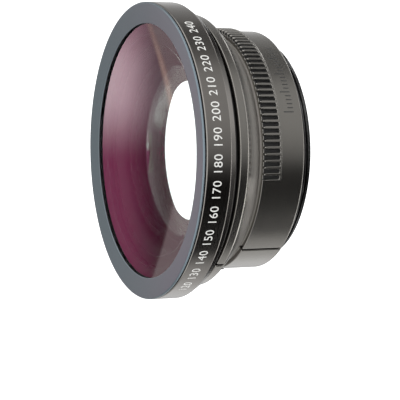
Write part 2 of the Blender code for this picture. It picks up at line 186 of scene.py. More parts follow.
# Camera in the photograph's place: columns right, up and back, then its place
CAMERA_RIGHT = Vector((-0.0225, -0.4105, -0.9116))
CAMERA_UP = Vector((0.9997, 0.0, -0.0247))
CAMERA_BACK = Vector((0.0101, -0.9119, 0.4104))
CAMERA_PLACE = Vector((-0.00772, -0.37582, 0.18561))
CAMERA_LENS = 155.5
CAMERA_SENSOR = 36

# Floor, and what the camera sees behind everything
FLOOR_SIZE = 6.0
FLOOR_BRIGHTNESS = 1.6
BACKDROP_BRIGHTNESS = 1.2

# Finishes: spread of the gloss, depth of the relief, grain beside lathe rings, ring size and edge wear
GLOSS_SPREAD = 0.15
RELIEF_DEPTH = 0.02 * MM
GRAIN_BESIDE_RINGS = 0.4
RING_SCALE = 9000.0
WEAR_GAIN = 9.0

# Light low down all round, as (azimuth from -Y towards +X in degrees, brightness)
SIDE_LIGHT = [
    (-180, 0.38), (-165, 0.7), (-140, 1.4), (-118, 1.2), (-100, 0.95), (-92, 0.4), (-85, 0.0), (-25, 0.0),
    (-17, 0.1), (-8, 0.42), (5, 0.7), (20, 0.9), (45, 0.94), (62, 0.84), (75, 0.42), (88, 0.26), (104, 0.26),
    (120, 0.52), (140, 0.6), (160, 0.85), (170, 0.4), (180, 0.3),
]

# Table: general brightness and the heights where it takes over from the sides
TABLE_LIGHT = 0.62
TABLE_EDGE = (-31, -38)

# Soft panels on the table, as (left, right, bottom, top, softness, brightness) in x and y of the direction
TABLE_PANELS = [
    (-1.1, -0.24, -1.1, -0.2, 0.1, 0.0),
    (-0.3, 0.16, -0.46, -0.15, 0.06, 3.4),
    (0.16, 0.6, -0.36, 0.0, 0.06, 2.2),
    (0.62, 0.9, 0.0, 0.2, 0.05, 2.2),
    (0.62, 0.9, 0.22, 0.48, 0.04, 4.5),
    (-0.62, -0.3, -0.4, -0.12, 0.05, 5.0),
    (-0.9, -0.6, -0.3, 0.22, 0.05, 4.0),
    (-0.9, -0.63, 0.24, 0.6, 0.05, 1.9),
    (0.09, 0.36, -0.03, 0.27, 0.06, 1.2),
    (-0.5, -0.09, -0.04, 0.26, 0.04, 0.0),
    (-0.6, -0.27, 0.16, 0.8, 0.05, 0.0),
    (0.3, 0.56, 0.38, 0.8, 0.06, 0.0),
    (0.13, 0.24, 0.74, 0.9, 0.03, 5.0),
]

# Sky: the heights where it starts, a gap beside the front where it starts higher, where the back
# takes over, the brightness of front and back, and one soft panel behind, in degrees
SKY_EDGE = (-6, 12)
SIDE_GAP = (-88, -26, -90, 90, 12)
GAP_HEIGHT = 14.0
BACK_EDGE = (0.2, 0.5)
FRONT_LIGHT = 2.2
BACK_LIGHT = 0.65
SKY_PANEL = (118, 156, 28, 52, 8)
SKY_PANEL_LIGHT = 3.0

# A soft panel's edges and softness, and where they are unless it says otherwise
PANEL = {"Left": -1.0, "Right": 1.0, "Bottom": -1.0, "Top": 1.0, "Softness": 0.1}

# Haze mirrored in the front glass: azimuths from the middle of the back, and heights, in degrees.
# It fades upwards, turns white to one side and ends at a bowed, tan streak.
HAZE_WINDOW = (-13, 13, 8, 31, 2)
HAZE_FADE = (19.0, 24.6)
HAZE_LEAST = 0.25
WHITE_FADE = (0.6, 4.2)
WHITE_LEAST = 0.03
WHITE_DIM = (5.0, 7.5)
WHITE_DIMMED = 0.5
HAZE_PLUM = (0.6, 0.095, 0.3)
HAZE_WHITE = (1.96, 2.06, 1.95)
STREAK_HEIGHT = 26.0
STREAK_BOW = 0.09
STREAK_MIDDLE = 1.3
STREAK_WIDTH = 0.55
STREAK_TAN = (1.35, 1.53, 1.05)
BEYOND_STREAK = (0.68, 0.81, 0.68)


def low(node):
    """Lowest height of a CAD node."""
    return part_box(node)[0].z


def high(node):
    """Greatest height of a CAD node."""
    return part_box(node)[1].z


def reach(node):
    """Outer radius of a turned CAD node."""
    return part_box(node)[1].x


# Meshes


def point(angle, radius, height):
    """A point at an angle round the axis."""
    return Vector((radius * math.sin(angle), -radius * math.cos(angle), height))


def placed(name, data):
    """An object for some data, linked to the scene at the origin."""
    thing = bpy.data.objects.new(name, data)
    bpy.context.scene.collection.objects.link(thing)
    return thing


def finished(name, mesh, materials, slot, *nodes):
    """Turn a bmesh into a shaded piece that rides on the body and stands for CAD nodes."""
    data = bpy.data.meshes.new(name)
    mesh.to_mesh(data)
    mesh.free()
    data.shade_smooth()
    data.set_sharp_from_angle(angle=SHARP)
    for material in materials:
        data.materials.append(material)
    adopt(placed(name, data), slot, *nodes)


def adopt(piece, slot, *nodes):
    """Hang a piece on the body and hide the CAD nodes that it stands for. The slot is not used."""
    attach(piece, BODY)
    if nodes:
        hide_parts(*nodes)


def section(node):
    """Corners (radius, height) of a turned CAD node in the plane that its turning starts from."""
    mesh = bmesh.new()
    mesh.from_mesh(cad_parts[node].data)
    bmesh.ops.remove_doubles(mesh, verts=mesh.verts, dist=TINY)
    cut = {v for v in mesh.verts if abs(v.co.y) < TINY and v.co.x > -TINY}
    corner = {v: (max(v.co.x, 0.0), v.co.z) for v in cut}
    links = {
        corner[v]: {corner[e.other_vert(v)] for e in v.link_edges if e.other_vert(v) in cut} for v in cut
    }
    mesh.free()
    ends = [c for c in links if len(links[c]) < 2 and c[0] > TINY]
    loose = sorted(ends, key=lambda c: (round(c[1], 7), c[0]))
    while loose:
        inner = loose.pop(0)
        if loose and abs(loose[0][1] - inner[1]) < TINY:
            outer = loose.pop(0)
        else:
            outer = (0.0, inner[1])
            links.setdefault(outer, set())
        links[inner].add(outer)
        links[outer].add(inner)
    path = [min(links, key=lambda c: (len(links[c]), c[1]))]
    while True:
        onward = [c for c in links[path[-1]] if c not in path]
        if not onward:
            break
        path.append(min(onward))
    area = sum(a[0] * b[1] - b[0] * a[1] for a, b in zip(path, path[1:] + path[:1]))
    return path if area > 0 else path[::-1]


def arc(centre, radius, start, end, steps):
    """Points on an arc in a section, from one direction to another."""
    angles = [start + (end - start) * i / steps for i in range(steps + 1)]
    return [(centre[0] + radius * math.cos(a), centre[1] + radius * math.sin(a)) for a in angles]


def arc_corner(before, here, after, trim):
    """Points that round one corner of a section."""
    before, here, after = Vector(before), Vector(here), Vector(after)
    first = here + (before - here).normalized() * trim
    last = here + (after - here).normalized() * trim
    shares = [i / FILLET_STEPS for i in range(FILLET_STEPS + 1)]
    return [tuple(first.lerp(here, s).lerp(here.lerp(last, s), s)) for s in shares]


def filleted(corners, size):
    """Round the sharp outer corners of a closed outline that runs anticlockwise."""
    outline = []
    count = len(corners)
    for i in range(count):
        before, here, after = (Vector(corners[(i + k) % count]) for k in (-1, 0, 1))
        inward, outward = here - before, after - here
        turn = math.atan2(inward.x * outward.y - inward.y * outward.x, inward.dot(outward))
        longest = LONGEST_TRIM * min(inward.length, outward.length)
        trim = min(size * math.tan(abs(turn) / 2), longest)
        if here.x < TINY or turn < LEAST_TURN or trim < TINY:
            outline.append(tuple(here))
        else:
            outline += arc_corner(before, here, after, trim)
    return outline


def supported(outline, margin):
    """Add a point near each end of every long stretch, so that its shading stays flat between soft edges."""
    points = []
    for here, following in zip(outline, outline[1:] + outline[:1]):
        points.append(here)
        start, end = Vector(here), Vector(following)
        length = (end - start).length
        if length > 4 * margin:
            points.append(tuple(start.lerp(end, margin / length)))
            points.append(tuple(end.lerp(start, margin / length)))
    return points


def turned_mesh(outline, finishes=()):
    """Revolve an anticlockwise outline. Corners on the axis become poles.

    Finishes gives the number of the material for each stretch of the outline, the first without it.
    """
    steps = TURN_STEPS
    mesh = bmesh.new()
    rings = []
    for radius, height in outline:
        turns = [math.tau * i / steps for i in range(steps if radius > TINY else 1)]
        rings.append([mesh.verts.new(point(angle, radius, height)) for angle in turns])
    for stretch, (ring, following) in enumerate(zip(rings, rings[1:] + rings[:1])):
        if len(ring) == len(following) == 1:
            continue
        for i in range(steps):
            j = (i + 1) % steps
            if len(ring) == 1:
                corners = (ring[0], following[j], following[i])
            elif len(following) == 1:
                corners = (ring[i], ring[j], following[0])
            else:
                corners = (ring[i], ring[j], following[j], following[i])
            mesh.faces.new(corners).material_index = finishes[stretch] if finishes else 0
    return mesh


def refined(name, node, edge, material, slot):
    """A smoothly turned piece in place of a faceted CAD node, with its edges broken."""
    outline = supported(filleted(section(node), edge), SUPPORT)
    finished(name, turned_mesh(outline), [material], slot, node)


def face_ring():
    """The front ring, with the wall of its opening blackened."""
    corners = section("front_retaining_ring")
    opening = min(corners)[0]
    outline = supported(filleted(corners, FACE_EDGE), SUPPORT)
    pairs = zip(outline, outline[1:] + outline[:1])
    mesh = turned_mesh(outline, [int(max(a[0], b[0]) < opening + LIP_WALL) for a, b in pairs])
    finished("face_ring", mesh, [FACE_GREY, MATT_BLACK], "face_ring", "front_retaining_ring")


def lofted_mesh(outlines, angles, closed=False):
    """Skin a row of outlines round the axis. An open loft is capped at both ends."""
    mesh = bmesh.new()
    rings = [
        [mesh.verts.new(point(angle, radius, height)) for radius, height in outline]
        for outline, angle in zip(outlines, angles)
    ]
    pairs = list(zip(rings, rings[1:]))
    if closed:
        pairs.append((rings[-1], rings[0]))
    for ring, following in pairs:
        for i in range(len(ring)):
            mesh.faces.new((ring[i - 1], ring[i], following[i], following[i - 1]))
    if not closed:
        mesh.faces.new(rings[0])
        mesh.faces.new(rings[-1])
    bmesh.ops.remove_doubles(mesh, verts=mesh.verts, dist=SAME_POINT)
    bmesh.ops.dissolve_degenerate(mesh, edges=mesh.edges, dist=SAME_POINT)
    bmesh.ops.recalc_face_normals(mesh, faces=mesh.faces)
    return mesh


def inset(outline, amount):
    """Move an outline that runs anticlockwise inwards by a small amount."""
    moved = []
    for i, here in enumerate(outline):
        here = Vector(here)
        before = Vector(outline[i - 1])
        after = Vector(outline[(i + 1) % len(outline)])
        first = (here - before).normalized()
        second = (after - here).normalized()
        normal = Vector((-(first.y + second.y), first.x + second.x))
        spread = max(normal.length / 2, LEAST_SPREAD)
        moved.append(tuple(here + normal.normalized() * amount / spread))
    return moved


# Shading


def plug(tree, socket, value):
    """Feed an input from another node's socket, or set it to a plain value."""
    if isinstance(value, bpy.types.NodeSocket):
        tree.links.new(value, socket)
    else:
        socket.default_value = value


def add_node(tree, kind, inputs=None, **settings):
    """Add a node with its settings, and feed its inputs by name or number."""
    node = tree.nodes.new(kind)
    for name, value in settings.items():
        setattr(node, name, value)
    for name, value in (inputs or {}).items():
        plug(tree, node.inputs[name], value)
    return node


def output(tree, kind, inputs=None, **settings):
    """The first output of a new node."""
    return add_node(tree, kind, inputs, **settings).outputs[0]


def number(tree, operation, *values):
    """The result of a Math node on numbers or sockets."""
    return output(tree, "ShaderNodeMath", dict(enumerate(values)), operation=operation)


def eased(tree, value, start, end):
    """Nought up to the start, one from the end on and a soft step between them, either way round."""
    inputs = {0: value, "From Min": start, "From Max": end}
    return output(tree, "ShaderNodeMapRange", inputs, interpolation_type="SMOOTHSTEP")


def ranged(tree, value, lowest, highest):
    """Stretch a value from nought to one onto a range."""
    return output(tree, "ShaderNodeMapRange", {0: value, "To Min": lowest, "To Max": highest})


def mixed(tree, factor, first, second):
    """Blend two numbers or sockets by a mask."""
    return output(tree, "ShaderNodeMix", {0: factor, 2: first, 3: second})


def blend_colours(tree, factor, first, second, blend="MIX"):
    """Blend two colours or sockets by a mask."""
    first, second = ((*colour, 1) if isinstance(colour, tuple) else colour for colour in (first, second))
    inputs = {0: factor, 6: first, 7: second}
    return add_node(tree, "ShaderNodeMix", inputs, data_type="RGBA", blend_type=blend).outputs[2]


def split(tree, vector):
    """The three parts of a vector."""
    return add_node(tree, "ShaderNodeSeparateXYZ", {0: vector}).outputs


def object_place(tree):
    """The place on the piece."""
    return tree.nodes.new("ShaderNodeTexCoord").outputs["Object"]


def noise(tree, place, scale, detail, roughness=0.5):
    """A noise from nought to one."""
    inputs = {"Vector": place, "Scale": scale, "Detail": detail, "Roughness": roughness}
    return output(tree, "ShaderNodeTexNoise", inputs)


def effect_group(name, inputs, outputs):
    """A shader node group with named float inputs and outputs, and its two end nodes."""
    group = bpy.data.node_groups.new(name, "ShaderNodeTree")
    for label, value in inputs.items():
        group.interface.new_socket(label, in_out="INPUT", socket_type="NodeSocketFloat").default_value = value
    for label in outputs:
        group.interface.new_socket(label, in_out="OUTPUT", socket_type="NodeSocketFloat")
    return group, group.nodes.new("NodeGroupInput"), group.nodes.new("NodeGroupOutput")


def fine_grain_group():
    """Bead-blasted or moulded grain: a height for bump and a slow variation for roughness."""
    inputs = {"Grain Scale": 3000.0, "Cloud Scale": 90.0}
    group, given, made = effect_group("fine_grain", inputs, ("Height", "Cloud"))
    place = object_place(group)
    grain = noise(group, place, given.outputs["Grain Scale"], detail=3.0, roughness=0.65)
    cloud = noise(group, place, given.outputs["Cloud Scale"], detail=4.0, roughness=0.55)
    group.links.new(grain, made.inputs["Height"])
    group.links.new(cloud, made.inputs["Cloud"])
    return group


def turning_marks_group():
    """Very fine rings left by the lathe: they run round the axis and vary with radius and height."""
    group, given, made = effect_group("turning_marks", {"Ring Scale": RING_SCALE}, ("Height",))
    x, y, z = split(group, object_place(group))
    squares = number(group, "ADD", number(group, "MULTIPLY", x, x), number(group, "MULTIPLY", y, y))
    along = output(group, "ShaderNodeCombineXYZ", {0: number(group, "SQRT", squares), 1: z})
    rings = noise(group, along, given.outputs["Ring Scale"], detail=2.0)
    group.links.new(rings, made.inputs["Height"])
    return group


def edge_wear_group():
    """A mask of the edges where handling has polished the finish, broken up by noise."""
    group, given, made = effect_group("edge_wear", {"Width": 0.0002, "Amount": 0.5}, ("Mask",))
    soft = output(group, "ShaderNodeBevel", {"Radius": given.outputs["Width"]}, samples=4)
    normals = {0: soft, 1: group.nodes.new("ShaderNodeNewGeometry").outputs["Normal"]}
    facing = add_node(group, "ShaderNodeVectorMath", normals, operation="DOT_PRODUCT").outputs["Value"]
    away = number(group, "SUBTRACT", 1.0, facing)
    patches = noise(group, object_place(group), scale=700.0, detail=5.0, roughness=0.7)
    strength = number(group, "MULTIPLY", given.outputs["Amount"], patches)
    mask = number(group, "MULTIPLY", number(group, "MULTIPLY", away, WEAR_GAIN), strength)
    group.links.new(output(group, "ShaderNodeClamp", {0: mask}), made.inputs["Mask"])
    return group


def painted_light_foot_group():
    """A mask for painted light that grows down a cone from its top to its foot and ends there."""
    group, given, made = effect_group("painted_light_foot", {"Top": 0.02, "Foot": 0.01, "Share": 0.5}, ("Mask",))
    top, foot, share = (given.outputs[name] for name in ("Top", "Foot", "Share"))
    fallen = number(group, "SUBTRACT", top, split(group, object_place(group))[2])
    down = number(group, "DIVIDE", fallen, number(group, "SUBTRACT", top, foot))
    above = number(group, "LESS_THAN", down, 1.0)
    group.links.new(number(group, "MULTIPLY", eased(group, down, 0.0, share), above), made.inputs["Mask"])
    return group


GRAIN = fine_grain_group()
TURNING = turning_marks_group()
WEAR = edge_wear_group()
PAINTED_LIGHT_FOOT = painted_light_foot_group()


def use_group(tree, group, **values):
    """Place an effect with its own values or sockets."""
    inputs = {name.replace("_", " "): value for name, value in values.items()}
    return add_node(tree, "ShaderNodeGroup", inputs, node_tree=group)


def metal_finish(name, colour, worn, roughness, metallic, grain, bump, wear, turned=False):
    """Anodised or painted surface: grain or lathe rings in the bump, cloudy gloss, polished edges."""
    material = bpy.data.materials.new(name)
    material.use_nodes = True
    tree = material.node_tree
    shader = tree.nodes["Principled BSDF"]
    shader.inputs["Metallic"].default_value = metallic
    texture = use_group(tree, GRAIN, Grain_Scale=grain)
    edges = use_group(tree, WEAR, Amount=wear)
    tree.links.new(blend_colours(tree, edges.outputs["Mask"], colour, worn), shader.inputs["Base Color"])
    glossiest, dullest = roughness * (1 - GLOSS_SPREAD), roughness * (1 + GLOSS_SPREAD)
    tree.links.new(ranged(tree, texture.outputs["Cloud"], glossiest, dullest), shader.inputs["Roughness"])
    height = texture.outputs["Height"]
    if turned:
        rings = use_group(tree, TURNING, Ring_Scale=RING_SCALE).outputs["Height"]
        height = number(tree, "ADD", number(tree, "MULTIPLY", height, GRAIN_BESIDE_RINGS), rings)
    relief = output(tree, "ShaderNodeBump", {"Strength": bump, "Distance": RELIEF_DEPTH, "Height": height})
    tree.links.new(relief, shader.inputs["Normal"])
    return material


def paint_cone_light(material, top, foot):
    """Paint light into a finish down a cone: paler and softer where it catches the light off the shoulder
    below.
    """
    tree = material.node_tree
    shader = tree.nodes["Principled BSDF"]
    base, metal, gloss = (shader.inputs[name] for name in ("Base Color", "Metallic", "Roughness"))
    mask = use_group(tree, PAINTED_LIGHT_FOOT, Top=top, Foot=foot, Share=CONE_SHARE).outputs["Mask"]
    tree.links.new(blend_colours(tree, mask, base.links[0].from_socket, CONE_PAINTED_LIGHT), base)
    tree.links.new(ranged(tree, mask, metal.default_value, CONE_METALLIC), metal)
    softer = number(tree, "ADD", gloss.links[0].from_socket, number(tree, "MULTIPLY", mask, CONE_SOFTER))
    tree.links.new(softer, gloss)


def polished_glass(name, index, coating):
    """Coated glass: it mirrors in the coating's colour, and the rest passes through."""
    material = bpy.data.materials.new(name)
    material.use_nodes = True
    values = {"Base Color": (1, 1, 1, 1), "Roughness": 0.0, "IOR": index}
    values |= {"Transmission Weight": 1.0, "Specular Tint": (*coating, 1)}
    for label, value in values.items():
        material.node_tree.nodes["Principled BSDF"].inputs[label].default_value = value
    return material


# Finishes: name, colour, colour where worn, roughness, metallic, grain, relief, edge wear and lathe rings
FACE_GREY = metal_finish(
    "blue_grey_satin", (0.111, 0.14, 0.16), (0.5, 0.52, 0.55), 0.34, 0.9, 5200.0, 0.12, 0.5, True
)
BAND_BLACK = metal_finish(
    "black_anodised", (0.168, 0.158, 0.147), (0.42, 0.41, 0.39), 0.21, 1.0, 5200.0, 0.1, 2.0
)
SHELL_BLACK = metal_finish(
    "charcoal_satin", (0.178, 0.17, 0.156), (0.42, 0.41, 0.39), 0.23, 0.95, 4200.0, 0.14, 1.6
)
THREAD_BLACK = metal_finish(
    "thread_black", (0.03, 0.03, 0.03), (0.25, 0.25, 0.25), 0.3, 1.0, 5200.0, 0.1, 0.5
)
MATT_BLACK = metal_finish(
    "matt_black", (0.012, 0.012, 0.012), (0.03, 0.03, 0.03), 0.85, 0.0, 3800.0, 0.05, 0.2
)
RUBBER = metal_finish("black_rubber", (0.018, 0.018, 0.018), (0.05, 0.05, 0.05), 0.75, 0.0, 2500.0, 0.3, 0.2)
STEEL = metal_finish("dark_steel", (0.05, 0.05, 0.052), (0.12, 0.12, 0.12), 0.45, 1.0, 5200.0, 0.1, 0.5, True)
EDGE_PAINT = metal_finish("edge_paint", (0.01, 0.01, 0.01), (0.02, 0.02, 0.02), 0.6, 0.0, 3800.0, 0.2, 0.0)
WHITE_PAINT = metal_finish("white_filling", (0.62, 0.62, 0.6), (0.7, 0.7, 0.68), 0.55, 0.0, 5200.0, 0.15, 0.1)
GREY_FILLING = metal_finish(
    "grey_filling", (0.012, 0.012, 0.012), (0.1, 0.1, 0.1), 0.5, 0.0, 5200.0, 0.15, 0.1
)

# Glass: its index, and the coating's colour
FRONT_GLASS = polished_glass("plum_coated_glass", FRONT_INDEX, (1.66, 0.0, 0.64))
HOLLOW_GLASS = polished_glass("hollow_coated_glass", FRONT_INDEX, (0.72, 0.68, 0.64))
CROWN_GLASS = polished_glass("crown_glass", CROWN_INDEX, (0.36, 0.45, 0.36))
FLINT_GLASS = polished_glass("flint_glass", FLINT_INDEX, (0.42, 0.39, 0.3))


# Glass


def dome(vertex, depth, aperture):
    """Points from the axis outwards on a sphere through a vertex, so deep at the given aperture."""
    radii = [aperture * i / GLASS_STEPS for i in range(GLASS_STEPS + 1)]
    if abs(depth) < TINY:
        return [(radius, vertex) for radius in radii]
    curve = (aperture * aperture + depth * depth) / (2 * abs(depth))
    falls = [curve - math.sqrt(curve * curve - radius * radius) for radius in radii]
    return [(radius, vertex - math.copysign(fall, depth)) for radius, fall in zip(radii, falls)]


def lens_mesh(front, rear, rim=(), rear_finish=0, rear_clear=math.inf):
    """Revolve a lens from its two polished surfaces. The rim between them gets the second material."""
    finishes = [rear_finish if radius < rear_clear else 1 for radius, _ in rear[:-1]]
    finishes += [1] * (len(rim) + 1) + [0] * (GLASS_STEPS + 1)
    return turned_mesh(rear + list(rim) + front[::-1], finishes)


def front_glass():
    """The large front glass: nearly flat in front, hollow behind, with a painted, stepped rim."""
    corners = section("front_element")
    radius = reach("front_element")
    bottom, top = low("front_element"), high("front_element")
    outside = [z for r, z in corners if r > radius - TINY]
    under = [r for r, z in corners if z < bottom + TINY]
    vertex = min(z for r, z in corners if r < TINY)
    front = dome(top, top - max(outside), radius)
    rear = dome(vertex, vertex - bottom, min(under))
    rim = [(max(under), bottom), (max(under), min(outside)), (radius, min(outside))]
    mesh = lens_mesh(front, rear, rim, rear_finish=2)
    finished("front_glass", mesh, [FRONT_GLASS, EDGE_PAINT, HOLLOW_GLASS], "front_glass", "front_element")


def rear_glass(name, node, glass, clear=math.inf):
    """One glass of the rear pair, with a painted rim. Its rear face is painted beyond a clear radius."""
    corners = section(node)
    radius = reach(node)
    axis = sorted(z for r, z in corners if r < TINY)
    rim = sorted(z for r, z in corners if r > radius - TINY)
    front = dome(axis[1], axis[1] - rim[1], radius)
    rear = dome(axis[0], axis[0] - rim[0], radius)
    finished(name, lens_mesh(front, rear, rear_clear=clear), [glass, EDGE_PAINT], "rear_glass", node)


# Half shells

SHELL_REAR = low("grip_shell")
SHELL_FRONT = high("grip_shell")
SHELL_RADIUS = reach("mount_ring") + SHELL_FIT + SHELL_RECESS_WALL
PAD_RADIUS = SHELL_RADIUS + PAD_HEIGHT
SHELL_SHOULDER = SHELL_FRONT - COLLAR_WIDTH - CONE_HEIGHT - VALLEY_WIDTH
SKIRT_TOP = high("mount_ring") + SHELL_FIT
SHELL_CORNERS = [(math.hypot(v.co.x, v.co.y), v.co.z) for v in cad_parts["grip_shell"].data.vertices]
SHELL_BORE = min(SHELL_CORNERS)[0]
COLLAR_RADIUS = max(radius for radius, height in SHELL_CORNERS if height > SHELL_FRONT - COLLAR_WIDTH / 2)
LAST_NOTCH = NOTCH_PITCH * (NOTCHES - 1) / 2


def smooth(value):
    """Ease from nought to one."""
    value = min(max(value, 0.0), 1.0)
    return value * value * (3 - 2 * value)


def pad_share(offset):
    """One on the raised pad, nought beside it, with an eased ramp at each end."""
    return smooth((PAD_HALF_ANGLE - abs(offset)) / PAD_RAMP)


def notch_share(offset, widening):
    """How far the nearest notch has sunk the pad at an angle: one over its floor, nought on a land."""
    nearest = min(max(round((offset + LAST_NOTCH) / NOTCH_PITCH), 0), NOTCHES - 1)
    across = abs(offset + LAST_NOTCH - nearest * NOTCH_PITCH) * PAD_RADIUS
    beyond = across - NOTCH_FLOOR - widening
    if beyond < 0:
        return 1.0
    if beyond < NOTCH_FLANK:
        return 1 - (1 - NOTCH_LIP) * beyond / NOTCH_FLANK
    return NOTCH_LIP * (1 - min((beyond - NOTCH_FLANK) / NOTCH_ROUND, 1.0)) ** 2


def shell_outline(offset):
    """Section of a half shell at an angle from the middle of its pad, from the recess round the outside."""
    rear, front, sleeve, shoulder = SHELL_REAR, SHELL_FRONT, SHELL_RADIUS, SHELL_SHOULDER
    cone_foot = shoulder + VALLEY_WIDTH
    cone_top = front - COLLAR_WIDTH
    valley = sleeve - VALLEY_DEPTH
    pad_rear = shoulder - PAD_WIDTH
    wall = pad_rear + NOTCH_END_WALL
    rise = PAD_HEIGHT * pad_share(offset)
    crest = sleeve + rise
    flare = shoulder - NOTCH_FLARE_LENGTH
    mouth = [(NOTCH_FLARE * smooth(share), flare + up * NOTCH_FLARE_LENGTH) for share, up in NOTCH_MOUTH]
    sunk = NOTCH_DEPTH * notch_share(offset, 0)
    lip = crest - NOTCH_DEPTH * notch_share(offset, NOTCH_FLARE)
    outline = [(sleeve - SHELL_RECESS_WALL, rear)]
    outline += arc((sleeve - SHELL_EDGE, rear + SHELL_EDGE), SHELL_EDGE, -90 * DEGREE, 0, ARC_STEPS)
    outline += [(sleeve, rear + SHELL_EDGE + SUPPORT), (sleeve, pad_rear - PAD_EDGE - SUPPORT)]
    outline.append((sleeve, pad_rear - PAD_EDGE))
    outline += [(sleeve + share * rise, pad_rear + up * PAD_EDGE) for share, up in PAD_SLOPE]
    outline += [(crest - share * sunk, wall + up * NOTCH_ROUND) for share, up in NOTCH_END]
    outline += [(crest - share * sunk, wall + up * NOTCH_FLANK) for share, up in NOTCH_FOOT]
    outline += [(crest - sunk, (wall + flare) / 2), (crest - sunk, flare)]
    outline += [(crest - NOTCH_DEPTH * notch_share(offset, widening), height) for widening, height in mouth]
    outline += arc((lip - PAD_EDGE, shoulder - PAD_EDGE), PAD_EDGE, 0, 90 * DEGREE, PAD_ARC_STEPS)
    foot, head = Vector((valley, cone_foot)), Vector((COLLAR_RADIUS, cone_top))
    slope = (head - foot).normalized()
    outline += [(valley, shoulder), (valley, cone_foot), tuple(foot + slope * SUPPORT)]
    outline.append(tuple(head - slope * (COLLAR_EDGE + SUPPORT)))
    outline += arc_corner((valley, cone_foot), (COLLAR_RADIUS, cone_top), (COLLAR_RADIUS, front), COLLAR_EDGE)
    outline.append((COLLAR_RADIUS, cone_top + COLLAR_EDGE + SUPPORT))
    outline.append((COLLAR_RADIUS, front - COLLAR_EDGE - SUPPORT))
    corner = (COLLAR_RADIUS - COLLAR_EDGE, front - COLLAR_EDGE)
    outline += arc(corner, COLLAR_EDGE, 0, 90 * DEGREE, ARC_STEPS)
    outline += [
        (COLLAR_RADIUS - COLLAR_WALL, front),
        (COLLAR_RADIUS - COLLAR_WALL, cone_top - SHELL_FIT),
        (SHELL_BORE, shoulder - SHELL_FIT),
        (SHELL_BORE, SKIRT_TOP),
        (sleeve - SHELL_RECESS_WALL, SKIRT_TOP),
    ]
    return outline


def shell_offsets():
    """Angles from the middle of the pad at which the section is taken, close together across the notches."""
    half = 90 * DEGREE
    edge = half - SEAM_GAP / 2 / PAD_RADIUS
    flank = NOTCH_FLOOR + NOTCH_FLANK
    beside = [i * SHELL_STEP for i in range(1, round(half / SHELL_STEP))]
    beside += [PAD_HALF_ANGLE - PAD_RAMP * i / RAMP_STEPS for i in range(RAMP_STEPS + 1)]
    beside = [angle for angle in beside if angle > LAST_NOTCH + (flank + NOTCH_ROUND) / PAD_RADIUS]
    across = [0, NOTCH_FLOOR, flank, flank + NOTCH_FLARE * FIRST_FLARE]
    across += [flank + NOTCH_ROUND * share for share in ACROSS_ROUND]
    across += [flank + NOTCH_ROUND + NOTCH_FLARE * share for share in ACROSS_FLARE]
    offsets = set()
    for side in (-1, 1):
        offsets.update(side * angle for angle in beside)
        for i in range(NOTCHES):
            offsets.update(i * NOTCH_PITCH - LAST_NOTCH + side * value / PAD_RADIUS for value in across)
    ordered = [offset for offset in sorted(offsets) if abs(offset) < edge - SEAM_EDGE / PAD_RADIUS]
    kept = [ordered[0]]
    for offset in ordered[1:]:
        if offset - kept[-1] > LEAST_STEP:
            kept.append(offset)
    return kept, edge


def shade_pockets(mesh, centre):
    """Give the walls and floors of the notches the second material: matt black as painted shade deep in the
    pockets.
    """
    wall = SHELL_SHOULDER - PAD_WIDTH + NOTCH_END_WALL
    half = PAD_HALF_ANGLE - PAD_RAMP
    for face in mesh.faces:
        middle = face.calc_center_median()
        offset = math.remainder(math.atan2(middle.x, -middle.y) - centre, math.tau)
        depth = PAD_RADIUS - math.hypot(middle.x, middle.y)
        sunk = POCKET_SHADE[0] * NOTCH_DEPTH < depth < POCKET_SHADE[1] * NOTCH_DEPTH
        if sunk and abs(offset) < half and wall - NOTCH_ROUND < middle.z < SHELL_SHOULDER - FINE_EDGE:
            face.material_index = 1


def half_shell(name, node, centre):
    """One half shell with its notched pad and softly broken seam edges."""
    offsets, edge = shell_offsets()

    def end_stations(side):
        stations = []
        for i in range(SEAM_STEPS + 1):
            sweep = 90 * DEGREE * i / SEAM_STEPS
            offset = side * (edge - SEAM_EDGE * (1 - math.sin(sweep)) / PAD_RADIUS)
            stations.append((offset, inset(shell_outline(offset), SEAM_EDGE * (1 - math.cos(sweep)))))
        return stations

    middle = [(offset, shell_outline(offset)) for offset in offsets]
    stations = end_stations(-1)[::-1] + middle + end_stations(1)
    mesh = lofted_mesh([outline for _, outline in stations], [centre + offset for offset, _ in stations])
    # Painted shade: the deep faces of the notches turn matt black
    shade_pockets(mesh, centre)
    finished(name, mesh, [SHELL_BLACK, MATT_BLACK], "shell", node)


# Thread ring


def thread_ring():
    """Rear ring with a real helical thread on its rim."""
    corners = section("mount_ring")
    top = max(r for r, z in corners if z < MM)
    length = max(z for r, z in corners if abs(r - top) < TINY)
    inside = min(corners)[0]
    beyond = [c for c in corners if c[1] > length - TINY and c[0] > inside + TINY]
    above = [c for c in beyond if abs(c[0] - top) > TINY]
    above.sort(key=lambda c: (-round(c[0], 6), c[1]))
    count = round((length - THREAD_LEAD_IN) / THREAD_PITCH * THREAD_STEPS)
    web = max(z for r, z in corners if abs(r - inside) < TINY)

    def outline_at(angle):
        outline = [(inside, 0), (top - THREAD_LEAD_IN, 0)]
        for i in range(count + 1):
            height = THREAD_LEAD_IN + (length - THREAD_LEAD_IN) * i / count
            phase = (height / THREAD_PITCH - angle / math.tau) % 1.0
            groove = smooth(1 - abs(2 * phase - 1) * THREAD_CREST)
            fade = smooth((length - height) / (THREAD_RUN_OUT * THREAD_PITCH))
            outline.append((top - THREAD_DEPTH * groove * fade, height))
        return outline + above + [(inside, web)]

    angles = [math.tau * i / TURN_STEPS for i in range(TURN_STEPS)]
    mesh = lofted_mesh([outline_at(angle) for angle in angles], angles, closed=True)
    finished("thread_ring", mesh, [THREAD_BLACK], "thread_ring", "mount_ring")


# Geometry Nodes for the figures and tick marks


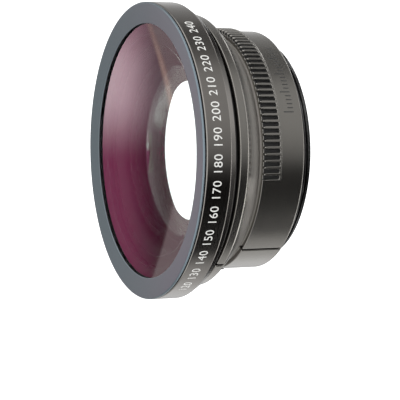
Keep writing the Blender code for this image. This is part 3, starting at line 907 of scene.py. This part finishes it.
def new_tree(name, inputs):
    """A Geometry Nodes tree with a geometry output and named inputs, each given by default value or kind."""
    tree = bpy.data.node_groups.new(name, "GeometryNodeTree")
    for label, value in inputs.items():
        kind = {float: "Float", int: "Int"}.get(type(value), value)
        socket = tree.interface.new_socket(label, in_out="INPUT", socket_type=f"NodeSocket{kind}")
        if kind != value:
            socket.default_value = value
    tree.interface.new_socket("Geometry", in_out="OUTPUT", socket_type="NodeSocketGeometry")
    return tree, tree.nodes.new("NodeGroupInput"), tree.nodes.new("NodeGroupOutput")


def joined(tree, *parts):
    """Several geometries as one."""
    node = tree.nodes.new("GeometryNodeJoinGeometry")
    for part in parts:
        tree.links.new(part, node.inputs[0])
    return node.outputs[0]


def wrap_tree():
    """Bends flat geometry round the axis: x becomes the angle, y the height and z the radius."""
    inputs = {"Geometry": "Geometry", "Radius": 0.03, "Angle": 0.0, "Height": 0.0}
    tree, given, made = new_tree("wrap_round_axis", inputs)
    x, y, z = split(tree, output(tree, "GeometryNodeInputPosition"))
    turn = number(tree, "ADD", given.outputs["Angle"], number(tree, "DIVIDE", x, given.outputs["Radius"]))
    radius = number(tree, "ADD", given.outputs["Radius"], z)
    across = number(tree, "MULTIPLY", radius, number(tree, "SINE", turn))
    back = number(tree, "MULTIPLY", radius, number(tree, "MULTIPLY", number(tree, "COSINE", turn), -1.0))
    height = number(tree, "ADD", given.outputs["Height"], y)
    place = output(tree, "ShaderNodeCombineXYZ", {0: across, 1: back, 2: height})
    moved = {"Geometry": given.outputs["Geometry"], "Position": place}
    tree.links.new(output(tree, "GeometryNodeSetPosition", moved), made.inputs[0])
    return tree


WRAP = wrap_tree()


def wrapped(tree, given, geometry, angle):
    """Geometry bent round the axis at the tree's own radius and height."""
    inputs = {"Geometry": geometry, "Radius": given.outputs["Radius"], "Angle": angle}
    inputs["Height"] = given.outputs["Height"]
    return output(tree, "GeometryNodeGroup", inputs, node_tree=WRAP)


def painted(tree, given, made, geometry):
    """End a tree: make its geometry real and give it the finish."""
    real = output(tree, "GeometryNodeRealizeInstances", {0: geometry})
    inputs = {"Geometry": real, "Material": given.outputs["Finish"]}
    tree.links.new(output(tree, "GeometryNodeSetMaterial", inputs), made.inputs[0])


def figures_tree():
    """Plain numbers at an even pitch round the axis, each a thin raised filling."""
    inputs = {"Radius": 0.035, "Height": 0.0, "Start": 0.0, "Pitch": 0.1, "Count": 10, "First Number": 0}
    inputs |= {"Number Step": 10, "Cap Height": 0.002, "Thickness": 0.00005, "Finish": "Material"}
    tree, given, made = new_tree("dial_figures", inputs)
    wanted = given.outputs
    begin = tree.nodes.new("GeometryNodeRepeatInput")
    end = tree.nodes.new("GeometryNodeRepeatOutput")
    begin.pair_with_output(end)
    tree.links.new(wanted["Count"], begin.inputs["Iterations"])
    turn = begin.outputs["Iteration"]
    steps = number(tree, "MULTIPLY", turn, wanted["Number Step"])
    value = number(tree, "ADD", wanted["First Number"], steps)
    text = output(tree, "FunctionNodeValueToString", {"Value": value, "Decimals": 0})
    size = number(tree, "DIVIDE", wanted["Cap Height"], CAP_SHARE)
    letters = {"String": text, "Size": size, "Character Spacing": FIGURE_SPACING}
    curves = output(tree, "GeometryNodeStringToCurves", letters, align_x="CENTER", align_y="MIDDLE")
    flat = output(tree, "GeometryNodeRealizeInstances", {0: curves})
    filled = output(tree, "GeometryNodeFillCurve", {"Curve": flat})
    rise = {"Mesh": filled, "Offset Scale": wanted["Thickness"], "Individual": False}
    raised = output(tree, "GeometryNodeExtrudeMesh", rise)
    both = joined(tree, raised, output(tree, "GeometryNodeFlipFaces", {0: filled}))
    closed = output(tree, "GeometryNodeMergeByDistance", {"Geometry": both, "Distance": FIGURE_WELD})
    angle = number(tree, "ADD", wanted["Start"], number(tree, "MULTIPLY", turn, wanted["Pitch"]))
    row = joined(tree, begin.outputs["Geometry"], wrapped(tree, given, closed, angle))
    tree.links.new(row, end.inputs["Geometry"])
    painted(tree, given, made, end.outputs["Geometry"])
    return tree


def ticks_tree():
    """A row of tick marks, every so many of them longer, wrapped round the axis."""
    inputs = {"Radius": 0.03, "Height": 0.0, "Start": 0.0, "Pitch": 0.1, "Count": 10, "Width": 0.0002}
    inputs |= {"Short": 0.001, "Long": 0.002, "Thickness": 0.00003, "Finish": "Material"}
    tree, given, made = new_tree("tick_marks", inputs)
    wanted = given.outputs
    step = number(tree, "MULTIPLY", wanted["Pitch"], wanted["Radius"])
    spacing = output(tree, "ShaderNodeCombineXYZ", {0: step})
    row = output(tree, "GeometryNodeMeshLine", {"Count": wanted["Count"], "Offset": spacing})
    place = number(tree, "MODULO", output(tree, "GeometryNodeInputIndex"), TICK_LONG_EVERY)
    longer = number(tree, "COMPARE", place, 0.0, 0.1)
    extra = number(tree, "SUBTRACT", wanted["Long"], wanted["Short"])
    length = number(tree, "ADD", wanted["Short"], number(tree, "MULTIPLY", longer, extra))
    size = output(tree, "ShaderNodeCombineXYZ", {0: wanted["Width"], 1: length, 2: wanted["Thickness"]})
    bar = output(tree, "GeometryNodeMeshCube", {"Size": (1.0, 1.0, 1.0)})
    rooted = output(tree, "GeometryNodeTransform", {"Geometry": bar, "Translation": (0.0, 0.5, 0.5)})
    bars = output(tree, "GeometryNodeInstanceOnPoints", {"Points": row, "Instance": rooted, "Scale": size})
    real = output(tree, "GeometryNodeRealizeInstances", {0: bars})
    painted(tree, given, made, wrapped(tree, given, real, wanted["Start"]))
    return tree


def grown(name, tree, values, slot):
    """Run a tree with its named inputs, keep the result as a plain mesh and let the carrier go."""
    carrier = placed(f"{name}_carrier", bpy.data.meshes.new(f"{name}_carrier"))
    modifier = carrier.modifiers.new("grow", "NODES")
    modifier.node_group = tree
    for item in tree.interface.items_tree:
        if item.in_out == "INPUT" and item.name in values:
            modifier[item.identifier] = values[item.name]
    depsgraph = bpy.context.evaluated_depsgraph_get()
    data = bpy.data.meshes.new_from_object(carrier.evaluated_get(depsgraph))
    data.name = name
    piece = placed(name, data)
    carrier.modifiers.clear()
    bpy.data.objects.remove(carrier)
    adopt(piece, slot)


def band_figures():
    """White numbers round the front barrel where the photograph has its lettering."""
    values = {
        "Radius": reach("front_barrel") - FILLING_SUNK,
        "Height": high("front_retaining_ring") - FIGURE_HEIGHT_FROM_FRONT,
        "Start": FIGURE_START,
        "Pitch": FIGURE_PITCH,
        "Count": FIGURE_COUNT,
        "First Number": FIGURE_FIRST,
        "Number Step": FIGURE_STEP,
        "Cap Height": FIGURE_CAP,
        "Thickness": FIGURE_DEPTH,
        "Finish": WHITE_PAINT,
    }
    grown("band_figures", figures_tree(), values, "lettered_barrel")


def sleeve_ticks():
    """Dark tick marks on the rear sleeve where the photograph has a small engraving."""
    values = {
        "Radius": SHELL_RADIUS - FILLING_SUNK,
        "Height": high("front_retaining_ring") - TICK_HEIGHT_FROM_FRONT,
        "Start": TICK_START,
        "Pitch": TICK_PITCH,
        "Count": TICK_COUNT,
        "Width": TICK_WIDTH,
        "Short": TICK_SHORT,
        "Long": TICK_LONG,
        "Thickness": TICK_DEPTH,
        "Finish": GREY_FILLING,
    }
    grown("sleeve_ticks", ticks_tree(), values, "shell")


# Stage, light and camera


def pale_floor():
    """A plain, evenly lit white table top."""
    mesh = bmesh.new()
    bmesh.ops.create_grid(mesh, x_segments=1, y_segments=1, size=FLOOR_SIZE / 2)
    data = bpy.data.meshes.new("floor")
    mesh.to_mesh(data)
    mesh.free()
    floor = placed("floor", data)
    material = bpy.data.materials.new("light_table")
    material.use_nodes = True
    tree = material.node_tree
    tree.nodes.remove(tree.nodes["Principled BSDF"])
    glow = output(tree, "ShaderNodeEmission", {"Color": (1, 1, 1, 1), "Strength": FLOOR_BRIGHTNESS})
    tree.links.new(glow, tree.nodes["Material Output"].inputs["Surface"])
    data.materials.append(material)
    floor.visible_diffuse = False
    floor.visible_glossy = False
    floor.visible_shadow = False


def ramp(tree, factor, stops):
    """A ramp of greys from (place, brightness) stops."""
    node = add_node(tree, "ShaderNodeValToRGB", {0: factor})
    node.color_ramp.interpolation = "LINEAR"
    elements = node.color_ramp.elements
    while len(elements) < len(stops):
        elements.new(0.5)
    for element, (place, grey) in zip(elements, stops):
        element.position = place
        element.color = (grey, grey, grey, 1)
    return node.outputs[0]


def soft_panel_group():
    """A mask of a soft-edged panel: one between left and right and between bottom and top."""
    group, given, made = effect_group("soft_panel", {"Across": 0.0, "Up": 0.0, **PANEL}, ("Mask",))
    sides = (("Across", "Left", 1.0), ("Across", "Right", -1.0), ("Up", "Bottom", 1.0), ("Up", "Top", -1.0))
    mask = 1.0
    for value, edge, sign in sides:
        inside = number(group, "SUBTRACT", given.outputs[value], given.outputs[edge])
        share = number(group, "DIVIDE", number(group, "MULTIPLY", inside, sign), given.outputs["Softness"])
        mask = number(group, "MULTIPLY", eased(group, share, -1.0, 1.0), mask)
    group.links.new(mask, made.inputs["Mask"])
    return group


def soft_studio():
    """Light from all round: a bright sky, pale and dark sides, and a table with soft panels on it."""
    world = bpy.data.worlds.new("studio")
    bpy.context.scene.world = world
    world.use_nodes = True
    tree = world.node_tree
    panel_group = soft_panel_group()
    x, y, z = split(tree, tree.nodes.new("ShaderNodeTexCoord").outputs["Generated"])
    azimuth = number(tree, "ARCTAN2", x, number(tree, "MULTIPLY", y, -1.0))
    around = number(tree, "DIVIDE", azimuth, DEGREE)
    up = number(tree, "DIVIDE", number(tree, "ARCSINE", z), DEGREE)

    def panel(across, upwards, *edges):
        return use_group(tree, panel_group, Across=across, Up=upwards, **dict(zip(PANEL, edges))).outputs[0]

    # Sides, table and sky
    turn = number(tree, "ADD", number(tree, "DIVIDE", azimuth, math.tau), 0.5)
    sides = ramp(tree, turn, [((place + 180) / 360, grey) for place, grey in SIDE_LIGHT])
    lower = TABLE_LIGHT
    for *edges, brightness in TABLE_PANELS:
        lower = mixed(tree, panel(x, y, *edges), lower, brightness)
    level = mixed(tree, eased(tree, up, *TABLE_EDGE), sides, lower)
    gap = panel(around, up, *SIDE_GAP)
    raised = number(tree, "SUBTRACT", up, number(tree, "MULTIPLY", gap, GAP_HEIGHT))
    sky = mixed(tree, eased(tree, y, *BACK_EDGE), FRONT_LIGHT, BACK_LIGHT)
    level = mixed(tree, eased(tree, raised, *SKY_EDGE), level, sky)
    level = mixed(tree, panel(around, up, *SKY_PANEL), level, SKY_PANEL_LIGHT)

    # What the front glass mirrors
    beside = number(tree, "DIVIDE", number(tree, "ARCTAN2", x, y), DEGREE)
    haze = mixed(tree, eased(tree, up, *HAZE_FADE), 1.0, HAZE_LEAST)
    brightest = mixed(tree, eased(tree, beside, *WHITE_DIM), 1.0, WHITE_DIMMED)
    white = mixed(tree, eased(tree, beside, *WHITE_FADE), WHITE_LEAST, brightest)
    tint = blend_colours(tree, white, HAZE_PLUM, HAZE_WHITE)
    aside = number(tree, "SUBTRACT", beside, STREAK_MIDDLE)
    bow = number(tree, "MULTIPLY", number(tree, "MULTIPLY", aside, aside), STREAK_BOW)
    across = number(tree, "SUBTRACT", number(tree, "ADD", up, bow), STREAK_HEIGHT)
    streak = number(tree, "MULTIPLY", eased(tree, across, -STREAK_WIDTH, 0.0), white)
    streak = number(tree, "MULTIPLY", streak, eased(tree, across, STREAK_WIDTH, 0.0))
    window = blend_colours(tree, 1.0, tint, haze, "MULTIPLY")
    window = blend_colours(tree, eased(tree, across, 0.0, STREAK_WIDTH), window, BEYOND_STREAK)
    window = blend_colours(tree, streak, window, STREAK_TAN)
    whole = blend_colours(tree, panel(beside, up, *HAZE_WINDOW), level, window)

    # What the camera sees behind everything
    seen = tree.nodes.new("ShaderNodeLightPath").outputs["Is Camera Ray"]
    shown = blend_colours(tree, seen, whole, (BACKDROP_BRIGHTNESS,) * 3)
    tree.links.new(shown, tree.nodes["Background"].inputs["Color"])


def camera():
    """The photograph's view: the lens seen from the side and a little from the front, axis across."""
    data = bpy.data.cameras.new("camera")
    data.lens = CAMERA_LENS
    data.sensor_width = CAMERA_SENSOR
    data.dof.use_dof = False
    eye = placed("camera", data)
    columns = Matrix((CAMERA_RIGHT, CAMERA_UP, CAMERA_BACK)).transposed()
    eye.matrix_world = Matrix.LocRotScale(CAMERA_PLACE, columns.to_quaternion(), None)
    bpy.context.scene.camera = eye
    bpy.context.scene.view_settings.view_transform = "Standard"


def carried_over():
    """CAD nodes that stay as they are get the finish of their kind."""
    finishes = {"mount_lock_screw": STEEL, "seam_pin": STEEL}
    finishes |= {"front_gasket": RUBBER, "rear_retaining_ring": MATT_BLACK}
    for name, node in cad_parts.items():
        for start, material in finishes.items():
            if name.startswith(start):
                node.data.materials.clear()
                node.data.materials.append(material)


camera()
pale_floor()
soft_studio()
face_ring()
refined("lettered_band", "front_barrel", BAND_EDGE, BAND_BLACK, "lettered_barrel")
refined("inner_tube", "main_barrel", FINE_EDGE, MATT_BLACK, "inner_black")
refined("baffle", "light_baffle", FINE_EDGE, MATT_BLACK, "inner_black")
refined("seat_washer", "rear_seat_washer", FINE_EDGE, RUBBER, "seal_rubber")
front_glass()
rear_glass("rear_crown", "rear_crown_element", CROWN_GLASS)
rear_glass("rear_flint", "rear_flint_element", FLINT_GLASS, REAR_CLEAR)
# Painted light: the shell's finish grows paler down the cone towards its foot
paint_cone_light(SHELL_BLACK, SHELL_FRONT - COLLAR_WIDTH, SHELL_SHOULDER)
half_shell("upper_grip_shell", "grip_shell", GRIP_CENTRE)
half_shell("lower_grip_shell", "lower_shell", GRIP_CENTRE + math.pi)
thread_ring()
band_figures()
sleeve_ticks()
carried_over()
